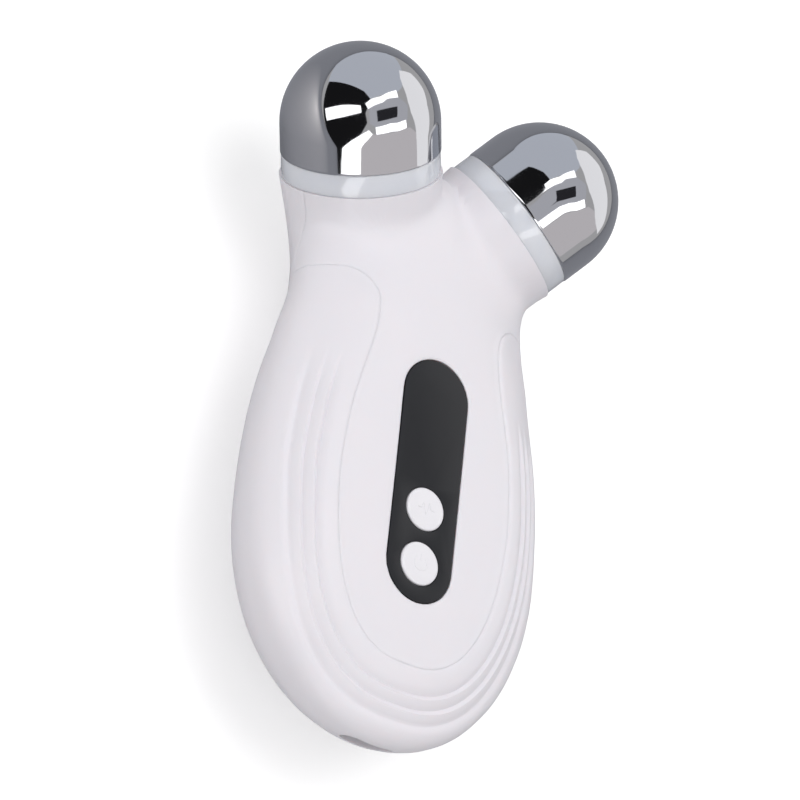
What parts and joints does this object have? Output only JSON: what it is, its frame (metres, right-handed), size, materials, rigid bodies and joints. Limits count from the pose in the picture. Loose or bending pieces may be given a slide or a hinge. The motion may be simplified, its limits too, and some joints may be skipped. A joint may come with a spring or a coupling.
{
  "type": "facial toning device",
  "caption": "Hand-held egg-shaped facial toning device with two splayed chromed dome heads, a dark window with round press buttons, and a grooved grip.",
  "frame": {"origin": "middle of the body on the flat rest face at its back", "axes": "+Z out of the front face, towards the buttons; +Y along the body, from the charging port to the domes; +X across, to the right as seen from the front with the domes up"},
  "size_m": [0.06, 0.109, 0.039],
  "materials": {
    "shell_plastic": "satin moulded plastic, very pale pink",
    "dark_window": "smooth dark charcoal acrylic with a polished edge",
    "black_rubber": "black adhesive foam",
    "pearl_plastic": "pearl white moulded plastic",
    "black_plastic": "black engineering plastic",
    "sheet_steel": "plated sheet steel",
    "clear_plastic": "frosted clear plastic",
    "led_body": "white lamp body with yellow phosphor",
    "board_laminate": "green solder mask on glass laminate",
    "ferrite": "dark grey ferrite",
    "battery_foil": "silver pouch foil",
    "white_plastic": "white moulded plastic",
    "wire_jacket": "red wire insulation",
    "chrome_plate": "bright chrome plating over moulded plastic",
    "collar_plastic": "glossy pale blue-grey translucent plastic",
    "brass_tag": "tinned brass tag"
  },
  "bodies": {
    "housing": {"front_cover": "shell_plastic", "rear_shell": "shell_plastic", "display_window": "dark_window", "window_gasket": "black_rubber", "mode_switch": "sheet_steel", "power_switch": "sheet_steel", "light_guide": "clear_plastic", "indicator_leds": "led_body", "main_board": "board_laminate", "control_chip": "black_plastic", "boost_coil": "ferrite", "usb_socket": "sheet_steel", "battery": "battery_foil", "battery_foam": "black_rubber", "battery_tray": "white_plastic", "battery_leads": "wire_jacket", "board_screws": "sheet_steel", "left_electrode": "chrome_plate", "right_electrode": "chrome_plate", "left_collar": "collar_plastic", "right_collar": "collar_plastic", "left_core": "white_plastic", "right_core": "white_plastic", "electrode_screws": "sheet_steel", "contact_terminals": "brass_tag", "left_lead": "wire_jacket", "right_lead": "wire_jacket"},
    "mode_key": {"mode_button": "pearl_plastic", "mode_plunger": "black_plastic"},
    "power_key": {"power_button": "pearl_plastic", "power_plunger": "black_plastic"}
  },
  "joints": [
    {"name": "mode_button_press", "type": "slide", "parent": "housing", "child": "mode_key", "axis": [0, 0, -1], "range_m": [0, 0.0003], "stiffness_N_per_m": 1000, "springref_m": -0.001},
    {"name": "power_button_press", "type": "slide", "parent": "housing", "child": "power_key", "axis": [0, 0, -1], "range_m": [0, 0.0003], "stiffness_N_per_m": 1000, "springref_m": -0.001}
  ]
}
